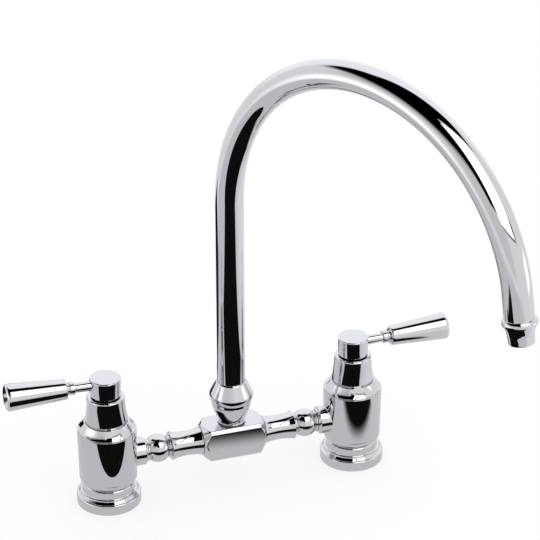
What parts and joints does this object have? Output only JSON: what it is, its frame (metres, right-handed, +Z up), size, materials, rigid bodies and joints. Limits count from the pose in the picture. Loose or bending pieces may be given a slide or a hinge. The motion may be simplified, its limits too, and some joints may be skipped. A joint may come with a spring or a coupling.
{
  "type": "bridge kitchen faucet",
  "caption": "Polished bridge faucet with lever handles on two columns, turned bridge arms, a centre block and a tall swivelling swan neck spout.",
  "frame": {"origin": "on the deck, midway between the axes of the two inlet columns", "axes": "+Z up from the deck, +X along the bridge to the right-hand column, the user stands at -Y"},
  "size_m": [0.3624, 0.2836, 0.398],
  "materials": {
    "chrome": "polished",
    "bare_brass": "satin",
    "rubber": "matte",
    "valve_ceramic": "satin",
    "nylon": "satin",
    "slippery_plastic": "satin",
    "fibre": "matte",
    "stainless": "satin"
  },
  "bodies": {
    "base": {"centre_block": "chrome", "block_washer": "fibre", "spout_socket": "chrome", "spout_nut": "chrome", "thrust_washer": "slippery_plastic", "bearing_ring": "nylon", "left_base_flange": "chrome", "left_base_gasket": "rubber", "left_column_body": "chrome", "left_bonnet_cover": "chrome", "left_cartridge_housing": "bare_brass", "left_cartridge_seal": "rubber", "left_fixed_disc": "valve_ceramic", "left_bridge_arm": "chrome", "left_arm_seals": "rubber", "right_base_flange": "chrome", "right_base_gasket": "rubber", "right_column_body": "chrome", "right_bonnet_cover": "chrome", "right_cartridge_housing": "bare_brass", "right_cartridge_seal": "rubber", "right_fixed_disc": "valve_ceramic", "right_bridge_arm": "chrome", "right_arm_seals": "rubber"},
    "spout": {"spout_foot": "bare_brass", "spout_o_rings": "rubber", "spout_tube": "chrome", "spout_outlet": "chrome", "aerator_seal": "rubber", "aerator_insert": "nylon", "aerator_screen": "stainless"},
    "left_lever": {"left_moving_disc": "valve_ceramic", "left_valve_spindle": "bare_brass", "left_spindle_o_ring": "rubber", "left_handle_hub": "chrome", "left_hub_grub_screw": "stainless", "left_lever_stem": "chrome", "left_lever_ferrule": "chrome", "left_lever_grip": "chrome"},
    "right_lever": {"right_moving_disc": "valve_ceramic", "right_valve_spindle": "bare_brass", "right_spindle_o_ring": "rubber", "right_handle_hub": "chrome", "right_hub_grub_screw": "stainless", "right_lever_stem": "chrome", "right_lever_ferrule": "chrome", "right_lever_grip": "chrome"}
  },
  "joints": [
    {"name": "spout_swivel", "type": "hinge", "parent": "base", "child": "spout", "pos_m": [0, 0, 0.07], "axis": [0, 0, 1], "continuous": true},
    {"name": "left_lever_turn", "type": "hinge", "parent": "base", "child": "left_lever", "pos_m": [-0.1015, 0, 0.105], "axis": [0, 0, 1], "range_deg": [0, 90]},
    {"name": "right_lever_turn", "type": "hinge", "parent": "base", "child": "right_lever", "pos_m": [0.1015, 0, 0.105], "axis": [0, 0, 1], "range_deg": [-90, 0]}
  ]
}
